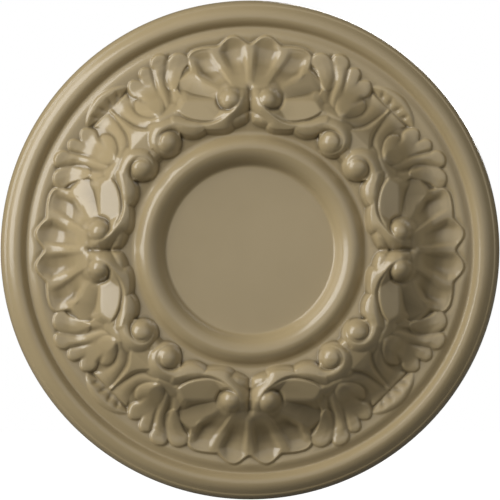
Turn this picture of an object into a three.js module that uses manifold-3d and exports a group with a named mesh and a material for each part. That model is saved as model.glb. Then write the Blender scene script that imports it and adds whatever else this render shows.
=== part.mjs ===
// Ceiling rose: one moulded piece with a rolled rim, a bell-shaped boss and a plain recessed centre.
// The boss carries four shells, four pairs of leaf sprays and paired scrolls, all of one casting.
// Millimetres. The carved face looks along -Y, +Z is up, and the origin is the centre of the flat back.
import * as THREE from 'three';
import { mergeVertices } from 'three/addons/utils/BufferGeometryUtils.js';
import Module from 'manifold-3d';

const wasm = await Module();
wasm.setup();

// Driving dimensions of the turned body: radii from the axis, heights above the flat back
const outerRadius = 152.5;
const edgeHeight = 2.5;
const beadInnerRadius = 148.6;
const beadHeight = 6.5;
const rimCrestRadius = 142.8;
const rimHalfWidth = 5.6;
const rimCrestHeight = 12.6;
const filletRadius = 133.9;
const filletHeight = 10.4;
const fieldRadius = 131.5;
const fieldHeight = 9.5;
const bellFootRadius = 121;
const bellTopRadius = 92;
const bellTopHeight = 35.9;
const ringFootRadius = 71.2;
const ringFootHeight = 33.5;
const ringCrestRadius = 62.6;
const ringCrestHeight = 38.5;
const discRadius = 51.5;
const discHeight = 27;
const bodySegments = 48;

// The ornament repeats on four quarters, and each quarter is mirrored about its shell
const quarters = 4;
const sprayRows = 3;
const spraySink = 6;
const bossAround = 9;
const bossAlong = 5;
const bandSides = 5;
const crescentSteps = 8;
const scrollSteps = 10;

// Paint colour of the whole casting
const taupe = new THREE.MeshStandardMaterial({ color: 0x95876a, roughness: 0.35, metalness: 0 });

// Height of the turned body under the ornament, from the field up the bell to its top
function groundHeight(radius) {
  const along = THREE.MathUtils.clamp((radius - bellTopRadius) / (bellFootRadius - bellTopRadius), 0, 1);
  return fieldHeight + (bellTopHeight - fieldHeight) * 0.5 * (1 + Math.cos(Math.PI * along));
}

// Points of a quarter or half ellipse in the profile, from one angle to another
function arc(centreRadius, centreHeight, halfWidth, halfHeight, fromDegrees, toDegrees, steps) {
  const points = [];
  for (let i = 0; i <= steps; i += 1) {
    const angle = THREE.MathUtils.degToRad(fromDegrees + ((toDegrees - fromDegrees) * i) / steps);
    const radius = centreRadius + halfWidth * Math.cos(angle);
    points.push(new THREE.Vector2(radius, centreHeight + halfHeight * Math.sin(angle)));
  }
  return points;
}

// A closed geometry becomes a solid once its shared corners are merged
function solidOf(geometry) {
  const bare = geometry.clone();
  bare.deleteAttribute('normal');
  bare.deleteAttribute('uv');
  const merged = mergeVertices(bare, 1e-4);
  const vertProperties = new Float32Array(merged.attributes.position.array);
  const triVerts = new Uint32Array(merged.index.array);
  return new wasm.Manifold(new wasm.Mesh({ numProp: 3, vertProperties, triVerts }));
}

// Turned body: flat back, edge bead, rim, field, bell, inner ring and sunk centre disc
function turnedBody() {
  const bellSteps = 4;
  const profile = [new THREE.Vector2(0, 0), new THREE.Vector2(outerRadius, 0)];
  const beadWidth = outerRadius - beadInnerRadius;
  profile.push(...arc(beadInnerRadius, edgeHeight, beadWidth, beadHeight - edgeHeight, 0, 90, 2));
  const rimRise = rimCrestHeight - beadHeight;
  profile.push(...arc(rimCrestRadius, beadHeight, rimHalfWidth, rimRise, 15, 155, 4));
  profile.push(new THREE.Vector2(filletRadius, filletHeight));
  profile.push(new THREE.Vector2(fieldRadius, fieldHeight));
  for (let i = 0; i <= bellSteps; i += 1) {
    const radius = bellFootRadius + ((bellTopRadius - bellFootRadius) * i) / bellSteps;
    profile.push(new THREE.Vector2(radius, groundHeight(radius)));
  }
  profile.push(new THREE.Vector2(ringFootRadius, ringFootHeight));
  const outerFall = ringCrestHeight - ringFootHeight;
  profile.push(...arc(ringCrestRadius, ringFootHeight, ringFootRadius - ringCrestRadius, outerFall, 30, 90, 2));
  const innerFall = ringCrestHeight - discHeight;
  profile.push(...arc(ringCrestRadius, discHeight, ringCrestRadius - discRadius, innerFall, 110, 180, 3));
  profile.push(new THREE.Vector2(0, discHeight));
  return solidOf(new THREE.LatheGeometry(profile, bodySegments).rotateX(Math.PI / 2));
}

// A point given beside the diagonal (distance from it, distance along it) in the shell's own axes
function fromDiagonal([beside, along]) {
  return [(along - beside) * Math.SQRT1_2, (along + beside) * Math.SQRT1_2];
}

// A spray lying on the bell: columns run from its root out to the tips and notches of its outline.
// A column is [root, end, lifts], and the lifts are how far it stands above the bell midway and at its end.
function spray(columns) {
  const last = columns.length - 1;
  const geometry = new THREE.BoxGeometry(1, 1, 1, last, sprayRows, 1);
  const position = geometry.attributes.position;
  for (let i = 0; i < position.count; i += 1) {
    const [root, end, [midway, tip]] = columns[Math.round((position.getX(i) + 0.5) * last)];
    const along = position.getY(i) + 0.5;
    const x = THREE.MathUtils.lerp(root[0], end[0], along);
    const y = THREE.MathUtils.lerp(root[1], end[1], along);
    const swell = midway * Math.sin(Math.PI * along) + tip * along * along;
    const rise = position.getZ(i) > 0 ? swell : -spraySink;
    position.setXYZ(i, x, y, groundHeight(Math.hypot(x, y)) + rise);
  }
  return geometry;
}

// A rounded boss standing on the bell, such as a scroll's eye
function boss([x, y], radius, centreHeight) {
  const geometry = new THREE.SphereGeometry(radius, bossAround, bossAlong);
  geometry.rotateX(Math.PI / 2);
  return geometry.translate(x, y, centreHeight);
}

// A round band along a path of (x, y, height) points
function band(path, radius, steps) {
  const route = new THREE.CatmullRomCurve3(path.map(([x, y, z]) => new THREE.Vector3(x, y, z)));
  const circle = new THREE.EllipseCurve(0, 0, radius, radius);
  const section = new THREE.Shape(circle.getPoints(bandSides).slice(0, -1));
  return new THREE.ExtrudeGeometry(section, { steps, bevelEnabled: false, extrudePath: route });
}

// Shell: ridges run to the notches of the scalloped edge and hollow flutes run to its tips
const ridgeLift = [6, 1.2];
const fluteLift = [1, 2.4];
const shellHalf = [
  [[0, 99.5], [0, 125.6], ridgeLift],
  [[3, 99.5], [9.6, 130.4], fluteLift],
  [[7, 99], [20.6, 124.6], ridgeLift],
  [[10, 98], [31, 122.4], fluteLift],
  [[13, 97], [35.6, 109.2], ridgeLift],
  [[15, 95.5], [43.2, 101.6], fluteLift],
  [[17, 93.5], [39, 93], ridgeLift],
  [[17, 88.5], [44.2, 86], fluteLift],
];
const mirrorColumn = ([root, end, lift]) => [[-root[0], root[1]], [-end[0], end[1]], lift];
const shell = spray([...shellHalf.slice(1).reverse().map(mirrorColumn), ...shellHalf]);

// Leaf spray, placed from the diagonal: lobes from the one beside the shell to the curled one by the stem
const lobeLift = [4.4, 3];
const gapLift = [1, 0.8];
const leaf = spray([
  [[30, 94], [44.5, 107], gapLift],
  [[29, 95], [50.5, 117.5], lobeLift],
  [[27, 96], [44.5, 117], gapLift],
  [[26, 96], [41.5, 123.6], lobeLift],
  [[25, 96], [35.4, 119], gapLift],
  [[23, 96], [30.8, 123.4], lobeLift],
  [[21.5, 96], [27, 118.4], gapLift],
  [[20, 96], [21.4, 123.6], lobeLift],
  [[18.5, 97], [16.6, 113], gapLift],
  [[17, 98], [11.8, 110], lobeLift],
  [[16, 97], [12.6, 103], gapLift],
].map(([root, end, lift]) => [fromDiagonal(root), fromDiagonal(end), lift]));

// Stems that meet on the diagonal, with the three-lobed lip that they flare into under the rim
const calyx = spray([
  [[14, 93], [9.6, 119.6], gapLift],
  [[9.5, 94], [4, 120.5], lobeLift],
  [[0, 101], [0, 121], gapLift],
  [[-9.5, 94], [-4, 120.5], lobeLift],
  [[-14, 93], [-9.6, 119.6], gapLift],
].map(([root, end, lift]) => [fromDiagonal(root), fromDiagonal(end), lift]));
const lip = spray([
  [[13, 117], [15.6, 124.6], gapLift],
  [[8, 116.5], [9.4, 129], lobeLift],
  [[4.2, 116.5], [4.8, 128.8], gapLift],
  [[0, 116.5], [0, 130.8], lobeLift],
  [[-4.2, 116.5], [-4.8, 128.8], gapLift],
  [[-8, 116.5], [-9.4, 129], lobeLift],
  [[-13, 117], [-15.6, 124.6], gapLift],
].map(([root, end, lift]) => [fromDiagonal(root), fromDiagonal(end), lift]));

// Scroll eyes: one beside the shell's axis and one beside the diagonal
const shellEye = boss([11.8, 90.4], 9.6, 34.4);
const diagonalEye = boss(fromDiagonal([11.6, 81.6]), 9, 34.8);

// Crescent band under the last flute, rolled round the shell's eye
const crescent = band(
  [[43, 86, 34.4], [38, 81.5, 36], [27, 79.2, 37], [15, 81.2, 37.6], [5.6, 86, 37.6], [4.4, 93, 36]],
  3.2,
  crescentSteps,
);

// Long S-shaped band from the foot of the shell's axis to the diagonal, rolled round the diagonal's eye
const scrollRoute = [[48, 61, 35], [38.5, 68.5, 36], [30.7, 77.5, 36], [24.3, 85, 36.2], [18, 89.4, 36.4],
  [12, 91, 36.4], [5.4, 88.8, 36.4], [3.2, 82, 36]];
const scroll = band(
  scrollRoute.map(([beside, along, height]) => [...fromDiagonal([beside, along]), height]),
  3.4,
  scrollSteps,
);

// One half of a quarter's ornament, copied by mirroring and quarter turns
function placed(geometry, turn, mirror) {
  const copy = geometry.clone();
  copy.deleteAttribute('normal');
  copy.deleteAttribute('uv');
  const shared = mergeVertices(copy, 1e-4);
  if (mirror) {
    shared.scale(-1, 1, 1);
    shared.index.array.reverse();
  }
  return shared.rotateZ((turn * 2 * Math.PI) / quarters);
}

const halfMotif = [leaf, shellEye, diagonalEye, crescent, scroll];
const wholeMotif = [shell, calyx, lip];
let rose = turnedBody();
for (let turn = 0; turn < quarters; turn += 1) {
  for (const geometry of wholeMotif) {
    rose = rose.add(solidOf(placed(geometry, turn, false)));
  }
  for (const mirror of [false, true]) {
    for (const geometry of halfMotif) {
      rose = rose.add(solidOf(placed(geometry, turn, mirror)));
    }
  }
}

const united = rose.getMesh();
const surface = new THREE.BufferGeometry();
surface.setAttribute('position', new THREE.BufferAttribute(new Float32Array(united.vertProperties), 3));
surface.setIndex(new THREE.BufferAttribute(new Uint32Array(united.triVerts), 1));
surface.rotateX(Math.PI / 2);
surface.computeVertexNormals();

const ceilingRose = new THREE.Mesh(surface, taupe);
ceilingRose.name = 'ceiling_rose';

const part = new THREE.Group();
part.add(ceilingRose);
export default part;
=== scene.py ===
import math

import bpy
import numpy as np
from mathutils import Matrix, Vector


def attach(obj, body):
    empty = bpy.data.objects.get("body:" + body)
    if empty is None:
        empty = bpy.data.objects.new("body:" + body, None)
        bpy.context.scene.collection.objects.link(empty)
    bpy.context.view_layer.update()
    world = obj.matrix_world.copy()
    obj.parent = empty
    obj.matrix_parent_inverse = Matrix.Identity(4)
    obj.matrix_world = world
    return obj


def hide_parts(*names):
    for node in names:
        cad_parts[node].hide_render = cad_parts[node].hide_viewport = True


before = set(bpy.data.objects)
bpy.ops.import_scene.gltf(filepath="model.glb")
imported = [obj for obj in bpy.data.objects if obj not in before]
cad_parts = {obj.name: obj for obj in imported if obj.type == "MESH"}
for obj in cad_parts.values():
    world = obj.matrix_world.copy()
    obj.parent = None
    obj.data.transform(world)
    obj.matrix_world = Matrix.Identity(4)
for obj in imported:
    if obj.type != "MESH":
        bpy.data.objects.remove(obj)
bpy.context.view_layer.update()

# Ceiling rose: sizes in millimetres, plan measured from the centre, heights above the flat back.
# The carving is worked out on one eighth of the rose, between a shell's axis and a diagonal.
MM = 0.001
OUTER_RADIUS = 152.5
CARVED_FROM, CARVED_TO = 70.8, 133.6
BELL_TOP_RADIUS, BELL_FOOT_RADIUS = 90.5, 121.5
BELL_TOP_HEIGHT, BELL_FOOT_HEIGHT, FIELD_HEIGHT = 35.7, 8.7, 9.5
DISC_HEIGHT = 27.0
HALF_ROOT = math.sqrt(0.5)


# Drawing tools

def ease(start, end, value):
    """Smooth change from 0 to 1 between start and end."""
    part = np.clip((value - start) / (end - start), 0, 1)
    return part * part * (3 - 2 * part)


def higher(a, b, round_over):
    """The higher of two surfaces, rounded where they meet."""
    part = np.clip(0.5 + 0.5 * (a - b) / round_over, 0, 1)
    return b * (1 - part) + a * part + round_over * part * (1 - part)


def lower(a, b, round_over):
    return -higher(-a, -b, round_over)


def spline(before, here, after, later, steps):
    """Points of the smooth line through four points, from the second to the third."""
    part = np.linspace(0, 1, steps, endpoint=False)[:, None]
    bend = 2 * before - 5 * here + 4 * after - later
    twist = 3 * here - before - 3 * after + later
    return 0.5 * (2 * here + (after - before) * part + bend * part**2 + twist * part**3)


def route(points, steps=8):
    """Smooth open line through the points."""
    p = np.array(points, float)
    p = np.vstack([2 * p[0] - p[1], p, 2 * p[-1] - p[-2]])
    runs = [spline(*p[i - 1:i + 3], steps) for i in range(1, len(p) - 2)]
    return np.vstack([*runs, p[-2:-1]])


def outline(points, steps=5):
    """Smooth closed line through the points."""
    p = np.array(points, float)
    n = len(p)
    return np.vstack([spline(p[i - 1], p[i], p[(i + 1) % n], p[(i + 2) % n], steps) for i in range(n)])


def nearest(line, x, y):
    """Distance to a line, part of the way along it, and +1 to the right of its travel or -1 to the left."""
    start = line[:-1, :2]
    run = line[1:, :2] - start
    length = np.hypot(run[:, 0], run[:, 1])
    travelled = np.concatenate([[0], np.cumsum(length)])
    best = np.full(x.shape, 1e9)
    along = np.zeros(x.shape)
    side = np.zeros(x.shape)
    for i in range(len(start)):
        part = ((x - start[i, 0]) * run[i, 0] + (y - start[i, 1]) * run[i, 1]) / length[i]**2
        part = np.clip(part, 0, 1)
        dx = x - start[i, 0] - part * run[i, 0]
        dy = y - start[i, 1] - part * run[i, 1]
        distance = np.hypot(dx, dy)
        closer = distance < best
        best = np.where(closer, distance, best)
        along = np.where(closer, (travelled[i] + part * length[i]) / travelled[-1], along)
        side = np.where(closer, np.sign(dx * run[i, 1] - dy * run[i, 0]), side)
    return best, along, side


def within(shape, x, y):
    """Distance inside a closed shape, negative outside it."""
    here, there = shape, np.roll(shape, -1, axis=0)
    best = np.full(x.shape, 1e9)
    held = np.zeros(x.shape, bool)
    for (ax, ay), (bx, by) in zip(here, there):
        dx, dy = bx - ax, by - ay
        part = np.clip(((x - ax) * dx + (y - ay) * dy) / (dx * dx + dy * dy + 1e-12), 0, 1)
        best = np.minimum(best, np.hypot(x - ax - part * dx, y - ay - part * dy))
        if dy != 0:
            held ^= ((ay > y) != (by > y)) & (x < ax + (y - ay) * dx / dy)
    return np.where(held, best, -best)


def along_values(along, values):
    """Value part of the way along a line, from values spaced evenly along it."""
    return np.interp(along, np.linspace(0, 1, len(values)), values)


def by_radius(radius, pairs):
    """Height on a smooth line through (radius, height) pairs."""
    line = route(pairs)
    return np.interp(radius, line[:, 0], line[:, 1])


def beside_diagonal(x, y):
    """Plan position measured from the diagonal: distance beside it, towards the shell, and along it."""
    return (y - x) * HALF_ROOT, (y + x) * HALF_ROOT


def from_diagonal(points):
    """The points, given beside and along the diagonal, as plan positions; a height is kept."""
    placed = []
    for beside, along, *height in points:
        placed.append(((along - beside) * HALF_ROOT, (along + beside) * HALF_ROOT, *height))
    return placed


# Turned body: sunk disc, inner ring, bell, field, rolled rim and edge bead

def turned_profile():
    bell_radius = np.linspace(BELL_TOP_RADIUS, BELL_FOOT_RADIUS, 40)
    fall = (bell_radius - BELL_TOP_RADIUS) / (BELL_FOOT_RADIUS - BELL_TOP_RADIUS)
    bell_height = BELL_FOOT_HEIGHT + (BELL_TOP_HEIGHT - BELL_FOOT_HEIGHT) * 0.5 * (1 + np.cos(np.pi * fall))
    return np.vstack([
        [(0, DISC_HEIGHT)],
        route([(49.8, DISC_HEIGHT), (50.8, 27.15), (51.8, 27.9), (52.8, 29.7), (54.2, 32.7), (56.2, 35.5),
               (58.2, 37.15), (60.2, 38.1), (62.2, 38.45), (64.2, 38.1), (66, 37.05), (67.6, 35.6),
               (69, 33.9), (70.2, 33.1), (71.8, 32.8), (74, 33.2), (78, 34)], 4),
        [(90.0, 35.6)],
        np.column_stack([bell_radius, bell_height]),
        route([(123.6, 8.8), (126.6, 9.2), (130.4, FIELD_HEIGHT), (132, 9.2), (133.6, 8.5), (135, 7.85),
               (136.2, 7.65), (137.2, 8.3), (138.5, 10.5), (140.2, 12), (142.4, 12.5), (144.4, 12.1),
               (146.3, 11.05), (148.1, 9.4), (148.9, 8.6)], 4),
        route([(149.2, 8.4), (149.8, 8.2), (150.6, 7.3), (151.4, 5.8), (152.1, 3.8), (OUTER_RADIUS, 1.8)], 3),
    ])


PROFILE = turned_profile()


def turned_height(radius):
    return np.interp(radius, PROFILE[:, 0], PROFILE[:, 1])


# Shell: an axis rib, two spoon-shaped flutes, a slanted facet and a flat panel on each side.
# Heights of the ribs and flutes are given against the radius.

AXIS_RIB = [(96, 32.4), (100, 31.4), (102, 30.6), (104, 28.8), (108, 23.2), (110, 20.1), (114, 15.9),
            (118, 12.9), (122, 11.2), (126, 10.6)]
INNER_FLUTE = [(98, 34.2), (100.6, 31.8), (104.6, 25.8), (108.6, 18.2), (112.5, 12.2), (116.5, 9.1),
               (120, 8.2), (124, 8.4), (129, 10.2)]
FIRST_CREST = [(98, 34.2), (100.6, 31.9), (104.7, 25.9), (108.9, 19.3), (111, 16.3), (113.2, 14.2),
               (117.5, 12.3), (121.8, 11.3), (126, 10.6), (130, 10.4)]
OUTER_FLUTE = [(96, 33.4), (100.4, 28.6), (104.3, 22.8), (108.3, 15.4), (110.6, 12.5), (113, 11),
               (115.4, 9.8), (119.3, 9), (124, 9.9)]
SECOND_CREST = [(96, 33.4), (102.8, 26.3), (105.3, 23.4), (108.2, 21.2), (110.9, 19.1), (113.2, 16.2),
                (115.3, 13.6), (117.5, 11.8), (121, 10.8), (126, 10.6)]
SHELL_EDGE = np.vstack([
    route([(0, 124.9), (1.4, 125.2), (4, 127), (6.8, 129.2), (9.6, 130.1), (12.6, 129.4), (15.6, 127),
           (18, 124.6), (19.6, 123.4)], 6),
    route([(19.6, 123.4), (23, 123.3), (28, 122.9), (32.6, 121.9), (35.9, 120), (37.3, 117.4),
           (36.8, 114.4), (36, 111.6), (35.8, 109)], 6),
    route([(35.8, 109), (39.6, 105.6), (43.2, 102.4), (44.2, 100.4), (43.4, 97), (41.4, 93.8),
           (39.4, 91)], 6),
    [(38, 86), (20, 82), (-20, 82), (-20, 124), (-1.4, 125.2)],
])
FIRST_RIB = route([(8.4, 97), (10.8, 102), (13, 106), (15.4, 110), (17.2, 113), (19.2, 116.2),
                   (20.6, 119), (21, 121.4), (19.6, 124.4)])
SECOND_RIB = route([(13, 92.6), (20.5, 97.6), (24, 100), (27.4, 102.2), (30.8, 104), (33, 106.2),
                    (34, 108.4), (34.9, 110.4), (36, 113)])
PANEL_EDGE = np.vstack([
    [(12, 91.4), (24, 91.5), (32, 91.7), (38.4, 91.8), (40.6, 90.8), (42.2, 88.8), (43.4, 86.4)],
    route([(45, 83.8), (41.5, 81), (37.3, 79.1), (32, 77.8), (26.5, 77.2), (20, 77.8), (14, 80.6),
           (8, 84)], 4),
])
FLUTE_DEEPEST = 0.6


def flute(from_first, from_second, first, floor, second):
    """Height across a flute: steep flanks beside the ribs and a slanted floor down to the deepest line."""
    part = from_first / np.maximum(from_first + from_second, 0.01)
    down = 0.55 * ease(0.06, 0.3, part) + 0.45 * ease(0.1, FLUTE_DEEPEST, part)
    up = 0.7 * ease(0.93, 0.68, part) + 0.3 * ease(1, FLUTE_DEEPEST, part)
    return np.where(part < FLUTE_DEEPEST, first + (floor - first) * down, second + (floor - second) * up)


def shell(x, y, radius):
    """Height of the shell, and the distance inside its edge."""
    edge = within(SHELL_EDGE, x, y)
    from_first, _, first_side = nearest(FIRST_RIB, x, y)
    from_second, _, second_side = nearest(SECOND_RIB, x, y)
    first, second = by_radius(radius, FIRST_CREST), by_radius(radius, SECOND_CREST)
    axis, floor = by_radius(radius, AXIS_RIB), by_radius(radius, INNER_FLUTE)
    inner = flute(np.abs(x), from_first, axis, floor, first)
    outer = flute(from_first, from_second, first, by_radius(radius, OUTER_FLUTE), second)
    facet = lower(23.6 - 0.46 * (x - 30) - 0.65 * (y - 100), second + 0.3, 0.6)
    surface = np.where(first_side < 0, inner, np.where(second_side < 0, outer, facet))
    spoon_end = 10.6 - 0.8 * np.maximum(edge, 0) - 0.25 * np.maximum(edge, 0)**2
    surface = np.where(second_side < 0, higher(surface, spoon_end, 0.8), surface)
    return surface - 1.5 * np.maximum(-edge, 0), edge


def shell_panel(x, y):
    """Flat panel that slopes outward, with a rolled edge and a steep wall below it."""
    edge = within(PANEL_EDGE, x, y)
    rolled_edge = (0.8 + 0.5 * ease(32, 39, x)) * (1 - np.clip(edge / 2.4, 0, 1))**2
    wall = 2.6 - 0.95 * ease(31, 42, x)
    return 40.3 - 0.48 * (y - 79) - rolled_edge - wall * np.maximum(-edge, 0)


# Leaf spray: a heart-shaped leaf by the diagonal over a two-lobed leaf, and a lower lobe beside the shell

HEART = outline([(19.4, 94), (25.6, 99.8), (28.6, 107), (28, 113.6), (25.4, 120), (21.6, 123.8),
                 (18, 122.6), (15.8, 118.4), (16.8, 113.2), (14.2, 112.6), (11.7, 109.6), (11.2, 106),
                 (12.4, 102.6), (14.8, 99)])
HEART_LIFT = [(94, 3.6), (98, 5.4), (101, 6.6), (105.5, 5.9), (109.5, 4.3), (113.4, 3.1), (117.6, 2.6),
              (122, 2.2), (125, 2)]
HEART_FOLD = route([(16.7, 113.8), (17.6, 110), (18.6, 105)])
BODY = outline([(18, 94), (24, 94.6), (28.4, 97.2), (31, 101), (33.2, 104.6), (35.4, 108),
                (38.4, 111.6), (42.8, 115), (46.8, 118.6), (46.4, 121.8), (43.6, 124.1), (39.8, 124.2),
                (37, 122.2), (35.3, 119.4), (34.4, 122), (31.6, 124.4), (28.6, 123.7), (26.8, 120.8),
                (24, 114), (18, 105), (15, 99)])
BODY_LIFT = [(94, 3.0), (98, 1.6), (104, 1.5), (110, 1.7), (114, 2.1), (118, 2.4), (121.5, 2.5),
             (124, 2.1), (127, 1.8)]
BODY_RIB = route([(24, 95), (27.4, 99.6), (29.6, 104), (31, 108), (33.2, 112), (36.6, 116), (41, 119.4)])
BODY_FOLD = route([(35.4, 120.4), (32.4, 115.4), (29.2, 110), (27.6, 106)])
SIDE_LOBE = outline([(37, 101), (44, 104.2), (49.5, 106.6), (53.8, 107), (56, 110.4), (55, 114.2),
                     (52, 116.8), (47, 117.2), (41, 115.4), (36.4, 110.6), (34.6, 105)])
SIDE_RIB = route([(39, 106), (44, 109.6), (51, 112.4)])
SIDE_VALLEY = route([(28.6, 95), (31.6, 99.2), (33.6, 102.4), (35.4, 105.6), (37, 109), (39.4, 112.4),
                     (43, 115.6), (48, 118.4)])


def cushion(edge, lift, soft, share_at_edge=0.72, wall=2.4):
    """Lift of a leaf over the bell: full in the middle, rounded towards its outline, walled outside it."""
    rounded = 1 - (1 - np.clip(edge / soft, 0, 1))**2
    return lift * (share_at_edge + (1 - share_at_edge) * rounded) - wall * np.maximum(-edge, 0)


def crease(line, x, y, places, depths, half_width):
    """Depth of a rounded groove along a line; the depth changes along it."""
    distance, part, _ = nearest(line, x, y)
    return np.interp(part, places, depths) * np.exp(-(distance / half_width)**2)


def leaf(height, ground, beside, along, radius):
    """Adds the side lobe, the two-lobed leaf and the heart-shaped leaf over them."""
    towards_tip = ease(106, 115, along)
    lobe = cushion(within(SIDE_LOBE, beside, along), 1.8, 3.0)
    lobe = lobe + crease(SIDE_RIB, beside, along, [0, 0.3, 1], [0, 0.5, 0.2], 2.0)
    height = higher(height, ground + lobe, 0.3)
    body_lift, body_wall = by_radius(radius, BODY_LIFT), 0.9 + 1.5 * towards_tip
    body = cushion(within(BODY, beside, along), body_lift, 3.0, 0.8 * towards_tip, body_wall)
    body = body + crease(BODY_RIB, beside, along, [0, 0.3, 0.8, 1], [0.2, 0.5, 0.6, 0], 1.6)
    body = body - crease(BODY_FOLD, beside, along, [0, 0.2, 0.8, 1], [0.6, 1.2, 0.8, 0], 1.1)
    height = higher(height, ground + body, 0.3)
    height = height - crease(SIDE_VALLEY, beside, along, [0, 0.2, 0.45, 0.6, 1], [0, 1.6, 1.5, 0.8, 0.6], 1.5)
    slant = np.clip((beside - 18) / 13, 0, 1) * (1 - 0.8 * towards_tip)
    curl = np.clip((17 - beside) / 6, 0, 1) * ease(112, 104, along)
    heart_lift = by_radius(radius, HEART_LIFT) * (1 - 0.85 * slant - 0.45 * curl)
    heart = cushion(within(HEART, beside, along), heart_lift, 3.4, 0.7)
    heart = heart - crease(HEART_FOLD, beside, along, [0, 0.2, 1], [1.0, 1.5, 0], 1.5)
    return higher(height, ground + heart, 0.3)


# Stems on the diagonal with a rib between them, and the arched lip with short folds that they end under

STEM = route([(26, 92), (18, 95), (12.4, 99), (9, 102.4), (7.4, 105), (6.6, 108), (6.2, 112),
              (6.4, 116), (7.4, 121)])
STEM_HALF_WIDTHS = [5, 5, 4.6, 4, 3.8, 3.8, 4.2, 5, 6.4]
STEM_LIFTS = [2.6, 4, 4.8, 2.6, 2, 2.1, 2, 1.2, 0.8]
STEM_END = 120.2
DISH = [(76.4, 34.0), (77.4, 35.2), (79.4, 38.8), (82, 39.9), (86, 39.6), (90, 39), (94, 38.1),
        (96, 37), (100, 33.9), (104, 29.3), (108, 23.2), (112, 17), (116, 12.2), (118.5, 10.9),
        (121, 10.2)]
DISH_HALF_WIDTH = [(79, 4), (90, 5), (94, 7.5), (97, 5), (100, 2.6), (104, 0.9), (110, 0.4), (121, 0.3)]
LIP = outline([(-6, 130.4), (0, 131.4), (6, 130.4), (11, 128.6), (15, 126), (17.4, 123.2), (14, 122.6),
               (7, 121.6), (0, 121.4), (-7, 121.6)])
LIP_FOLDS = [route([(2.4, 121.8), (3.2, 124.6), (4.6, 127.6)]),
             route([(8.4, 122), (9.8, 124.6), (11.2, 126.6)])]


def strand(beside, along, line, half_widths, lifts, fullness):
    """Lift of a rounded strand over the bell; half width and lift change along its line."""
    distance, part, _ = nearest(line, beside, along)
    half = along_values(part, half_widths)
    lift = along_values(part, lifts) * (1 - np.clip(distance / half, 0, 1)**fullness)
    return lift - 2.2 * np.maximum(distance - half, 0)


def stems(height, ground, beside, along):
    """Adds the stem, which ends in a straight cut over the hollow behind the lip."""
    height = height - 1.6 * np.exp(-((beside - 13.6)**2 / 12 + (along - 120.6)**2 / 8))
    height = height - 0.5 * np.exp(-(along - 122.4)**2 / 3.5) * ease(17, 12, beside)
    cut_off = 2.2 * np.maximum(along - STEM_END, 0)
    stem = strand(beside, along, STEM, STEM_HALF_WIDTHS, STEM_LIFTS, 1.8)
    return higher(height, ground + stem - cut_off, 0.3 + 2.2 * ease(101, 95, along))


def stem_rib(height, ground, beside, along):
    """Adds the dish between the diagonal scrolls, the rib that runs out of it, and the lip."""
    aside = np.maximum(beside - by_radius(along, DISH_HALF_WIDTH), 0)
    dish = by_radius(along, DISH) - 1.3 * aside - 0.14 * aside**2 - 2.2 * np.maximum(along - STEM_END, 0)
    height = higher(height, np.where(along > 76.4, dish, 0), 0.3 + 2.2 * ease(101, 95, along))
    lip = cushion(within(LIP, beside, along), 1.8 * ease(120.8, 128, along), 3, 0.4, 1.6)
    for fold in LIP_FOLDS:
        lip = lip - crease(fold, beside, along, [0, 0.4, 1], [0.5, 1.2, 0.1], 1.3)
    return higher(height, ground + lip, 0.3)


# Scrolls: an eye by the shell's axis, an eye by the diagonal, the S-shaped band that holds both,
# and the scalloped foot on the band's ring side. Band points carry a third value, the height.

BAND_FROM_SHELL = [(5.6, 91, 42.6), (6.4, 88.6, 43.9), (8.2, 85.8, 44), (10.4, 83.6, 43.6), (13, 81.6, 42.9),
                   (16.6, 79, 42.2), (20.6, 76.8, 41.7), (25, 75.6, 41.4), (30, 75, 41.6), (35, 74.9, 42),
                   (40, 75.8, 42), (46, 77, 41.6)]
BAND_TO_DIAGONAL = [(25, 82, 42), (22, 85.8, 41.6), (18.4, 88.4, 41.7), (14, 89.8, 42.2), (9.8, 89.6, 42.6),
                    (6.4, 87.6, 42.7), (4.3, 84.4, 42.8), (4, 80.8, 42.2)]
BAND = route(BAND_FROM_SHELL + from_diagonal(BAND_TO_DIAGONAL))
PANEL_LINE = route([(44.8, 84.6), (41.3, 81.4), (36.8, 79.1), (31.2, 77.8), (25.2, 77.4), (19.8, 78.8),
                    (15.2, 81.3), (12, 83.8)])
SHELL_GROOVE = route([(19.6, 95.4), (20, 91.4), (18.8, 87.6), (16, 85.2), (12.8, 84.9), (10.4, 86.4),
                      (9.6, 88.4)])
DIAGONAL_GROOVE = route([(19.8, 76), (19.8, 79.6), (18.8, 83.4), (15.6, 86.2), (11.8, 86.9),
                         (8.4, 85.6), (6.5, 82.8), (6.5, 79.6)])
FOOT_EDGE = np.vstack([
    route([(-1, 84), (-0.4, 80.2), (1.6, 78.4), (4.6, 77.4), (7.4, 76.8), (10.8, 76.4)], 5),
    route([(10.8, 76.4), (12.4, 74.2), (15.4, 72.9), (19.4, 72.5), (23.4, 72.5), (26.8, 73)], 5),
    route([(26.8, 73), (28.8, 71.2), (31.6, 69.8), (35, 69.2), (38.2, 69.4), (41, 70.6), (43.4, 72)], 5),
    [(47, 73.4), (47, 76), (40, 78), (30, 77.4), (20, 78.6), (10, 83.6)],
])
FOOT_HEIGHT = [(0, 36.6), (2, 38), (4, 39.2), (6, 40), (8, 40.6), (14, 41), (20, 41), (28, 41.1),
               (34, 41.9), (46, 41.2)]
FOOT_FOLDS = [route([(10.6, 76), (12, 77), (14, 77.4)]),
              route([(26.6, 72.6), (27.6, 74), (29.2, 74.8)])]
SHELL_EYE, SHELL_EYE_TOP = (11, 90.6), 44.7
SHELL_EYE_BASE, SHELL_EYE_BASE_TOP = (10.4, 89.4), 41.8
DIAGONAL_EYE, DIAGONAL_EYE_TOP = (10.6, 81.8), 45.1
DIAGONAL_DISC, DIAGONAL_DISC_TOP = (10.6, 83.4), 45
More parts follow.
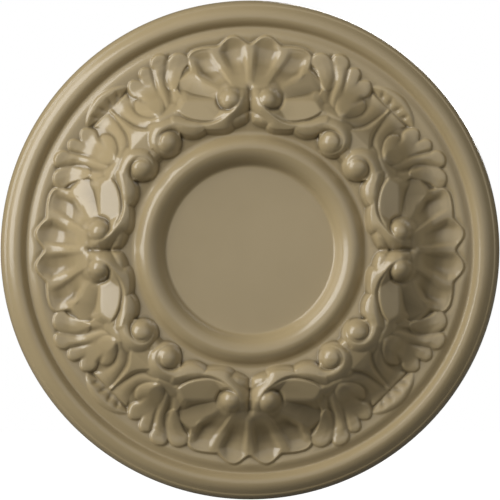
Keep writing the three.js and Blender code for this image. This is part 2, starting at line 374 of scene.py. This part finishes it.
AXIS_GAP = [(72, 37), (76, 37), (78, 34.2), (80, 35), (84, 36.2), (88, 37.2), (91, 36.9), (94, 35),
            (97, 32.2), (99, 31.6)]


def dome(x, y, centre, top, fall, steepen):
    """Rounded top that falls with the square of the distance, and faster farther out."""
    square = (x - centre[0])**2 + (y - centre[1])**2
    return top - fall * square - steepen * square**2


def band(x, y):
    """Broad band: it falls quickly on its outer side and gently towards the eye and foot that it holds."""
    distance, part, side = nearest(BAND, x, y)
    outer = 0.4 * distance + 0.12 * distance**2
    inner = 0.08 * distance + 0.05 * distance**2
    at_start = 1 - ease(0.1, 0.22, part)
    return along_values(part, BAND[:, 2]) - np.where(side > 0, inner + (outer - inner) * at_start, outer)


def foot(x, y):
    """Scalloped leaf along the band's ring side, rounded at its edge and lower towards the ring."""
    edge = within(FOOT_EDGE, x, y)
    rounded = 1.4 * (1 - np.clip(edge / 3, 0, 1))**2
    return by_radius(x, FOOT_HEIGHT) - 0.3 * np.maximum(74 - y, 0) - rounded - 2.0 * np.maximum(-edge, 0)


def scrolls(height, x, y, beside, along):
    """Adds the eyes, foot and band, then cuts the grooves between them."""
    height = higher(height, dome(x, y, SHELL_EYE_BASE, SHELL_EYE_BASE_TOP, 0.08, 0.0001), 2)
    height = higher(height, dome(x, y, SHELL_EYE, SHELL_EYE_TOP, 0.065, 0.0017), 0.4)
    foot_height = foot(x, y)
    height = higher(height, foot_height, 0.3)
    held = band(x, y)
    beyond_foot = (within(FOOT_EDGE, x, y) < 0) & (y < 76) & (x < 42)
    held = np.where(beyond_foot, np.minimum(held, foot_height), held)
    disc = dome(beside, along, DIAGONAL_DISC, DIAGONAL_DISC_TOP, 0.012, 0.0006)
    held = np.where((beside < 18.5) & (along < 85), np.minimum(held, disc), held)
    height = higher(height, held, 0.8)
    eye = dome(beside, along, DIAGONAL_EYE, DIAGONAL_EYE_TOP, 0.04, 0.0011)
    height = higher(height, eye, 0.3)
    for fold in FOOT_FOLDS:
        height = height - crease(fold, x, y, [0, 0.4, 1], [0.4, 0.3, 0], 0.9)
    height = height - crease(PANEL_LINE, x, y, [0, 0.1, 0.8, 1], [0.4, 1.1, 1.1, 0], 0.7)
    height = height - crease(SHELL_GROOVE, x, y, [0, 0.25, 0.75, 1], [0, 1.5, 1.7, 0], 1.1)
    return height - crease(DIAGONAL_GROOVE, beside, along, [0, 0.2, 0.75, 1], [0.4, 1.2, 1.1, 0], 0.8)


def carved_height(x, y):
    """Height of the carving on the eighth between a shell's axis (x = 0) and the diagonal (x = y)."""
    radius = np.hypot(x, y)
    beside, along = beside_diagonal(x, y)
    ground = turned_height(radius)
    shell_height, edge = shell(x, y, radius)
    height = ground - 0.7 * np.exp(-(np.minimum(edge, 0) / 2.4)**2) * ease(108, 116, radius)
    height = np.where(edge > 0, shell_height, higher(height, shell_height, 0.05))
    height = higher(height, shell_panel(x, y), 0.3)
    height = stems(height, ground, beside, along)
    height = leaf(height, ground, beside, along, radius)
    height = stem_rib(height, ground, beside, along)
    height = scrolls(height, x, y, beside, along)
    axis_gap = by_radius(y, AXIS_GAP) + 2.4 * np.maximum(x - 0.9, 0)
    return np.where(y < 98.5, lower(height, axis_gap, 0.8), height)


# Casting: the eighth is laid out on rings, mirrored and turned into the whole face, and closed by the back.
# The grid's step round the rose is the same as between rings at GRID_RADIUS.

GRID_STEP, GRID_RADIUS = 0.26, 100
SOFTENING_PASSES = 4
HOLLOW_PASSES, HOLLOW_DEPTH = 60, 1.65
FINISHED_TRIANGLES = 188000
SHARP_CREASE = math.radians(16)
INTO_TRIANGLE = 0.25
STEEP_EDGE_FROM, BACK_BELOW = 151.2, 1


def ring_radii():
    """Radii of the rings: few on the disc, the profile's own on the mouldings, and close on the carving."""
    radius = PROFILE[:, 0]
    disc = np.linspace(4, 48, 8)
    inner = radius[(radius > 50) & (radius < CARVED_FROM)]
    carved = np.arange(CARVED_FROM, CARVED_TO, GRID_STEP)
    return np.concatenate([disc, inner, carved, radius[radius > CARVED_TO]])


def face_grid():
    """Radii and turns of the eighth's grid, and the softened height at each place on it."""
    radii = ring_radii()
    steps = int(round(math.radians(45) * GRID_RADIUS / GRID_STEP))
    turns = np.linspace(0, math.radians(45), steps + 1)
    radius, turn = np.meshgrid(radii, turns, indexing="ij")
    x, y = radius * np.sin(turn), radius * np.cos(turn)
    height = turned_height(radius)
    carved = (radius >= CARVED_FROM) & (radius <= CARVED_TO)
    height[carved] = carved_height(x[carved], y[carved])
    return radii, turns, soften(height, carved)


def soften(height, carved):
    """Rounds every crease of the carving a little, as paint and moulding do."""
    for _ in range(SOFTENING_PASSES):
        wide = np.pad(height, ((0, 0), (1, 1)), mode="reflect")
        across = 0.25 * wide[:, :-2] + 0.5 * wide[:, 1:-1] + 0.25 * wide[:, 2:]
        tall = np.pad(across, ((1, 1), (0, 0)), mode="edge")
        smooth = 0.25 * tall[:-2] + 0.5 * tall[1:-1] + 0.25 * tall[2:]
        height = np.where(carved, smooth, height)
    return height


def whole_face(eighth):
    """Mirrors the eighth about the diagonal, then turns the quarter four times."""
    quarter = np.hstack([eighth[:, :-1], eighth[:, :0:-1]])
    return np.hstack([quarter] * 4)


def closed_mesh(radii, height):
    """Mesh of the whole face on its rings, closed by the centre disc, the outer edge and the flat back."""
    rings, count = height.shape
    turn = np.arange(count) * 2 * math.pi / count
    x = radii[:, None] * np.sin(turn)
    y = radii[:, None] * np.cos(turn)
    face = np.stack([x, -height, y], axis=-1).reshape(-1, 3)
    edge = np.stack([OUTER_RADIUS * np.sin(turn), np.zeros(count), OUTER_RADIUS * np.cos(turn)], axis=-1)
    centres = np.array([(0, -DISC_HEIGHT, 0), (0, 0, 0)])
    points = np.vstack([face, edge, centres]) * MM
    ring, step = np.meshgrid(np.arange(rings), np.arange(count), indexing="ij")
    here = (ring * count + step).ravel()
    there = (ring * count + (step + 1) % count).ravel()
    quads = np.column_stack([here, there, there + count, here + count])
    first, last = np.arange(count), rings * count + np.arange(count)
    front_fan = np.column_stack([np.full(count, len(points) - 2), (first + 1) % count, first])
    after_last = rings * count + (first + 1) % count
    back_fan = np.column_stack([np.full(count, len(points) - 1), last, after_last])
    corners = np.concatenate([quads.ravel(), front_fan.ravel(), back_fan.ravel()])
    sizes = np.concatenate([np.full(len(quads), 4), np.full(2 * count, 3)])
    mesh = bpy.data.meshes.new("ceiling_rose_casting")
    mesh.vertices.add(len(points))
    mesh.vertices.foreach_set("co", points.ravel())
    mesh.loops.add(len(corners))
    mesh.loops.foreach_set("vertex_index", corners)
    mesh.polygons.add(len(sizes))
    mesh.polygons.foreach_set("loop_start", np.concatenate([[0], np.cumsum(sizes)[:-1]]))
    mesh.update(calc_edges=True)
    return mesh


def casting():
    """The whole rose as one closed mesh, thinned to its finished number of triangles."""
    radii, turns, eighth = face_grid()
    mesh = closed_mesh(radii, whole_face(eighth))
    triangles = len(mesh.loops) - 2 * len(mesh.polygons)
    rose = bpy.data.objects.new("ceiling_rose_casting", mesh)
    bpy.context.collection.objects.link(rose)
    thin = rose.modifiers.new("even_out", "DECIMATE")
    thin.ratio = FINISHED_TRIANGLES / triangles
    thin.use_collapse_triangulate = True
    evened = bpy.data.meshes.new_from_object(rose.evaluated_get(bpy.context.evaluated_depsgraph_get()))
    rose.modifiers.clear()
    rose.data = evened
    bpy.data.meshes.remove(mesh)
    evened.name = "ceiling_rose_casting"
    shade(evened, radii, turns, eighth)
    return rose


def shade(mesh, radii, turns, eighth):
    """Smooth shading from the slope of the carving itself, so that the mesh's triangles don't show.
    A corner on a crease takes the slope a little way into its own triangle, which keeps the crease sharp.
    The steep outer edge and the back are shaded by their own faces."""
    mesh.polygons.foreach_set("use_smooth", np.ones(len(mesh.polygons), bool))
    by_ring, by_turn = np.gradient(eighth, radii, turns)
    points = np.empty(len(mesh.vertices) * 3)
    mesh.vertices.foreach_get("co", points)
    points = points.reshape(-1, 3) / MM
    corner = np.empty(len(mesh.loops), int)
    mesh.loops.foreach_get("vertex_index", corner)
    middle = points[corner].reshape(-1, 3, 3).mean(axis=1).repeat(3, axis=0)

    def about_shell(place):
        radius, turn = np.hypot(place[:, 0], place[:, 2]), np.arctan2(place[:, 0], place[:, 2])
        return radius, turn, turn - np.round(turn / (math.pi / 2)) * math.pi / 2

    def reader(place):
        """Reads values laid out on the eighth's rings at places anywhere on the face."""
        radius, _, from_shell = about_shell(place)
        ring = np.interp(radius, radii, np.arange(len(radii)))
        step = np.interp(np.abs(from_shell), turns, np.arange(len(turns)))
        low_ring = np.minimum(ring.astype(int), len(radii) - 2)
        low_step = np.minimum(step.astype(int), len(turns) - 2)
        p, q = ring - low_ring, step - low_step

        def read(values):
            near_ring = values[low_ring, low_step] * (1 - q) + values[low_ring, low_step + 1] * q
            far_ring = values[low_ring + 1, low_step] * (1 - q) + values[low_ring + 1, low_step + 1] * q
            return near_ring * (1 - p) + far_ring * p

        return read

    def normals_at(place):
        radius, turn, from_shell = about_shell(place)
        read = reader(place)
        outward = read(by_ring)
        sideways = read(by_turn) * np.sign(from_shell) / np.maximum(radius, 1)
        slope_x = outward * np.sin(turn) + sideways * np.cos(turn)
        slope_y = outward * np.cos(turn) - sideways * np.sin(turn)
        return unit(np.column_stack([-slope_x, -np.ones(len(radius)), -slope_y]))

    normals = normals_at(points)[corner]
    # Painted shade for the creases: how far each point lies below its surroundings, carried on the points to
    # the paint
    painted_shade = mesh.attributes.new("painted_shade", "FLOAT", "POINT")
    painted_shade.data.foreach_set("value", reader(points)(crease_shade_share(eighth, radii)))
    own = normals_at(points[corner] + INTO_TRIANGLE * (middle - points[corner]))
    crease = (normals * own).sum(axis=1) < math.cos(SHARP_CREASE)
    normals[crease] = own[crease]
    faces = np.empty(len(mesh.polygons) * 3)
    mesh.polygons.foreach_get("normal", faces)
    faces = faces.reshape(-1, 3).repeat(3, axis=0)
    plain = (np.hypot(middle[:, 0], middle[:, 2]) > STEEP_EDGE_FROM) | (middle[:, 1] > -BACK_BELOW)
    normals[plain] = faces[plain]
    mesh.normals_split_custom_set(normals)


def crease_shade_share(height, radii):
    """How far each place lies below its surroundings, 0 on open faces and 1 in deep creases: the share of
    painted shade there.
    """
    around = height
    for _ in range(HOLLOW_PASSES):
        wide = np.pad(around, ((1, 1), (1, 1)), mode="reflect")
        around = 0.25 * (wide[:-2, 1:-1] + wide[2:, 1:-1] + wide[1:-1, :-2] + wide[1:-1, 2:])
    carved = ease(CARVED_FROM, CARVED_FROM + 4, radii) * ease(CARVED_TO, CARVED_TO - 5, radii)
    return np.clip((around - height) / HOLLOW_DEPTH, 0, 1) * carved[:, None]


def unit(vectors):
    return vectors / np.linalg.norm(vectors, axis=1, keepdims=True)


# Taupe paint: satin, with painted shade darkening the creases, a faint cloudiness, small changes of gloss
# and a fine sprayed texture

DARKER_TAUPE, LIGHTER_TAUPE = (0.290, 0.226, 0.122, 1), (0.312, 0.244, 0.134, 1)
# Dark brown painted into the creases as shade
PAINTED_CREASE_SHADE = (0.075, 0.055, 0.026, 1)
GLOSSIEST, DULLEST = 0.18, 0.26


def taupe_paint():
    paint = bpy.data.materials.new("taupe_paint")
    paint.use_nodes = True
    nodes, links = paint.node_tree.nodes, paint.node_tree.links
    body = nodes["Principled BSDF"]
    body.inputs["Specular IOR Level"].default_value = 0.5
    place = nodes.new("ShaderNodeTexCoord")

    def cloud(scale, detail):
        noise = nodes.new("ShaderNodeTexNoise")
        noise.inputs["Scale"].default_value = scale
        noise.inputs["Detail"].default_value = detail
        links.new(place.outputs["Object"], noise.inputs["Vector"])
        return noise.outputs["Fac"]

    tone = nodes.new("ShaderNodeValToRGB")
    darker, lighter = tone.color_ramp.elements
    darker.position, lighter.position = 0.3, 0.7
    darker.color, lighter.color = DARKER_TAUPE, LIGHTER_TAUPE
    links.new(cloud(22, 3), tone.inputs["Fac"])
    # Painted shade: the dark brown is mixed in where the carving lies below its surroundings, standing in for
    # shadow in the creases
    painted_shade = nodes.new("ShaderNodeAttribute")
    painted_shade.attribute_name = "painted_shade"
    shaded = nodes.new("ShaderNodeMix")
    shaded.data_type = "RGBA"
    shaded.inputs[7].default_value = PAINTED_CREASE_SHADE
    links.new(painted_shade.outputs["Fac"], shaded.inputs[0])
    links.new(tone.outputs["Color"], shaded.inputs[6])
    links.new(shaded.outputs[2], body.inputs["Base Color"])
    gloss = nodes.new("ShaderNodeMapRange")
    gloss.inputs["To Min"].default_value, gloss.inputs["To Max"].default_value = GLOSSIEST, DULLEST
    links.new(cloud(60, 2), gloss.inputs["Value"])
    links.new(gloss.outputs["Result"], body.inputs["Roughness"])
    spray = nodes.new("ShaderNodeBump")
    spray.inputs["Strength"].default_value = 0.08
    spray.inputs["Distance"].default_value = 0.0002
    links.new(cloud(900, 2), spray.inputs["Height"])
    links.new(spray.outputs["Normal"], body.inputs["Normal"])
    return paint


rose = casting()
rose.data.materials.clear()
rose.data.materials.append(taupe_paint())
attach(rose, "root")
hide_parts("ceiling_rose")


# Studio: pale floor, white surround, one soft box from the upper left and weak fill

FLOOR_REACH, FLOOR_GAP = 1.5, 0.001


def pale_floor():
    """Floor just under the rose, pale to the camera and too dim to light the rose from below."""
    mesh = bpy.data.meshes.new("pale_floor")
    z = -OUTER_RADIUS * MM - FLOOR_GAP
    corners = [(-1, -1), (1, -1), (1, 1), (-1, 1)]
    mesh.from_pydata([(FLOOR_REACH * x, FLOOR_REACH * y, z) for x, y in corners], [], [(0, 1, 2, 3)])
    floor = bpy.data.objects.new("pale_floor", mesh)
    bpy.context.collection.objects.link(floor)
    matt = bpy.data.materials.new("pale_floor")
    matt.use_nodes = True
    nodes, links = matt.node_tree.nodes, matt.node_tree.links
    body = nodes["Principled BSDF"]
    body.inputs["Base Color"].default_value = (0.15, 0.15, 0.15, 1)
    body.inputs["Roughness"].default_value = 0.9
    body.inputs["Specular IOR Level"].default_value = 0.1
    body.inputs["Emission Color"].default_value = (1, 1, 1, 1)
    path = nodes.new("ShaderNodeLightPath")
    glow = nodes.new("ShaderNodeMath")
    glow.operation = "MULTIPLY"
    glow.inputs[1].default_value = 0.92
    links.new(path.outputs["Is Camera Ray"], glow.inputs[0])
    links.new(glow.outputs["Value"], body.inputs["Emission Strength"])
    mesh.materials.append(matt)


def soft_box(name, direction, distance, width, height, power):
    """White area light that faces the rose from a direction and casts no shadow."""
    lamp = bpy.data.lights.new(name, "AREA")
    lamp.shape = "RECTANGLE"
    lamp.size, lamp.size_y = width, height
    lamp.energy = power
    lamp.use_shadow = False
    holder = bpy.data.objects.new(name, lamp)
    away = Vector(direction).normalized()
    holder.location = away * distance
    holder.visible_camera = False
    holder.rotation_euler = away.to_track_quat("Z", "Y").to_euler()
    bpy.context.collection.objects.link(holder)


def white_surround():
    """White behind the rose; the light it gives is a glow from the front and above the floor."""
    world = bpy.data.worlds.new("white_surround")
    world.use_nodes = True
    bpy.context.scene.world = world
    nodes, links = world.node_tree.nodes, world.node_tree.links
    seen = nodes["Background"]
    seen.inputs["Color"].default_value = (1, 1, 1, 1)
    seen.inputs["Strength"].default_value = 1.0
    lit = nodes.new("ShaderNodeBackground")
    lit.inputs["Color"].default_value = (1, 1, 1, 1)
    place = nodes.new("ShaderNodeTexCoord")
    split = nodes.new("ShaderNodeSeparateXYZ")
    links.new(place.outputs["Generated"], split.inputs["Vector"])

    def change(axis, start, end, weak, strong):
        step = nodes.new("ShaderNodeMapRange")
        step.inputs["From Min"].default_value, step.inputs["From Max"].default_value = start, end
        step.inputs["To Min"].default_value, step.inputs["To Max"].default_value = weak, strong
        links.new(split.outputs[axis], step.inputs["Value"])
        return step.outputs["Result"]

    glow = nodes.new("ShaderNodeMath")
    glow.operation = "MULTIPLY"
    links.new(change("Y", 0.1, -1.0, 0.06, 1.05), glow.inputs[0])
    links.new(change("Z", -0.6, -0.05, 0.22, 1.0), glow.inputs[1])
    links.new(glow.outputs["Value"], lit.inputs["Strength"])
    path = nodes.new("ShaderNodeLightPath")
    either = nodes.new("ShaderNodeMixShader")
    links.new(path.outputs["Is Camera Ray"], either.inputs["Fac"])
    links.new(lit.outputs["Background"], either.inputs[1])
    links.new(seen.outputs["Background"], either.inputs[2])
    links.new(either.outputs["Shader"], nodes["World Output"].inputs["Surface"])


pale_floor()
white_surround()
soft_box("key_soft_box", (-0.8345, -0.407, 0.3716), 3.0, 2.36, 3.3, 122)
soft_box("back_fill", (0.3, 1.0, 0.4), 2.5, 1.0, 1.0, 20)


# Camera straight in front, from far away; the rose fills the frame

FRAME_WIDTH = 0.3058
CAMERA_DISTANCE = 4.0


def front_camera():
    camera = bpy.data.cameras.new("front_camera")
    camera.sensor_width = 36
    camera.lens = camera.sensor_width * CAMERA_DISTANCE / FRAME_WIDTH
    camera.clip_end = 100
    holder = bpy.data.objects.new("front_camera", camera)
    holder.location = (0, -CAMERA_DISTANCE, 0)
    holder.rotation_euler = (math.pi / 2, 0, 0)
    bpy.context.collection.objects.link(holder)
    bpy.context.scene.camera = holder


front_camera()
bpy.context.scene.view_settings.view_transform = "Standard"
